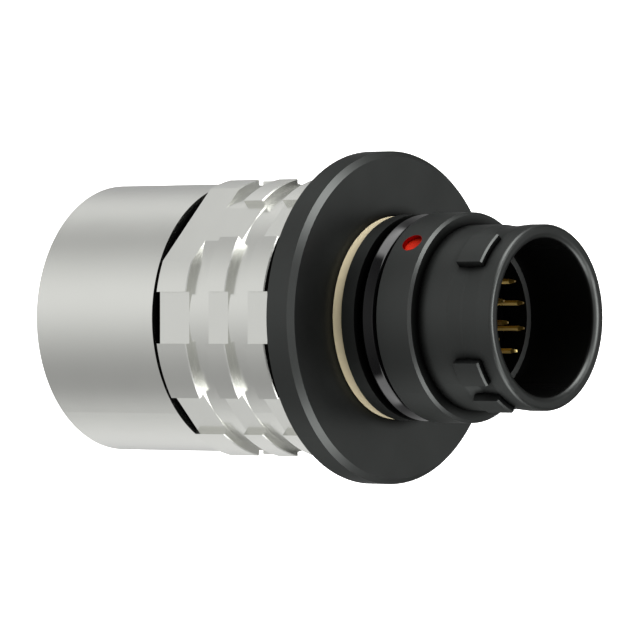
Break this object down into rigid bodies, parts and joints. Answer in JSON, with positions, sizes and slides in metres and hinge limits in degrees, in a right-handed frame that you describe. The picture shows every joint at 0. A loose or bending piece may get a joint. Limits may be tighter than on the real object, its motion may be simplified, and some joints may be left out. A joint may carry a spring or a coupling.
{
  "type": "circular connector plug",
  "caption": "Circular cable plug with a turning ribbed grip nut, a smooth rear sleeve, a round sealing flange and a keyed black nose that shields gold pin contacts.",
  "frame": {"origin": "centre of the rear sleeve's end face, where the plug stands", "axes": "+Z along the plug's axis from the cable end to the mouth, -Y towards the index dot and main key"},
  "size_m": [0.0328, 0.0328, 0.0543],
  "materials": {
    "satin_nickel": "satin nickel plate on brass",
    "black_anodised": "matt black anodised",
    "black_polymer": "matt black moulded ring",
    "black_rubber": "moulded rubber",
    "gloss_seal": "lightly greased ring seal",
    "cream_gasket": "matt cream gasket",
    "red_enamel": "red enamel fill",
    "black_insulator": "moulded insulator",
    "gold_contact": "gold plated",
    "spring_steel": "spring steel"
  },
  "bodies": {
    "plug": {"rear_sleeve": "satin_nickel", "gland_washer": "satin_nickel", "core_tube": "satin_nickel", "cable_grommet": "black_rubber", "rear_ring": "black_polymer", "nut_spacer": "black_polymer", "flange": "black_anodised", "front_shell": "black_anodised", "face_gasket": "cream_gasket", "shoulder_seal": "gloss_seal", "insert_seal": "gloss_seal", "index_dot": "red_enamel", "front_insulator": "black_insulator", "rear_insulator": "black_insulator", "insert_clip": "spring_steel", "outer_pin_1": "gold_contact", "outer_pin_2": "gold_contact", "outer_pin_3": "gold_contact", "outer_pin_4": "gold_contact", "outer_pin_5": "gold_contact", "outer_pin_6": "gold_contact", "outer_pin_7": "gold_contact", "outer_pin_8": "gold_contact", "outer_pin_9": "gold_contact", "outer_pin_10": "gold_contact", "outer_pin_11": "gold_contact", "outer_pin_12": "gold_contact", "inner_pin_1": "gold_contact", "inner_pin_2": "gold_contact", "inner_pin_3": "gold_contact", "inner_pin_4": "gold_contact", "inner_pin_5": "gold_contact", "inner_pin_6": "gold_contact", "centre_pin": "gold_contact"},
    "nut": {"grip_nut": "satin_nickel"}
  },
  "joints": [
    {"name": "nut_turn", "type": "hinge", "parent": "plug", "child": "nut", "pos_m": [0, 0, 0.02325], "axis": [0, 0, 1], "continuous": true}
  ]
}
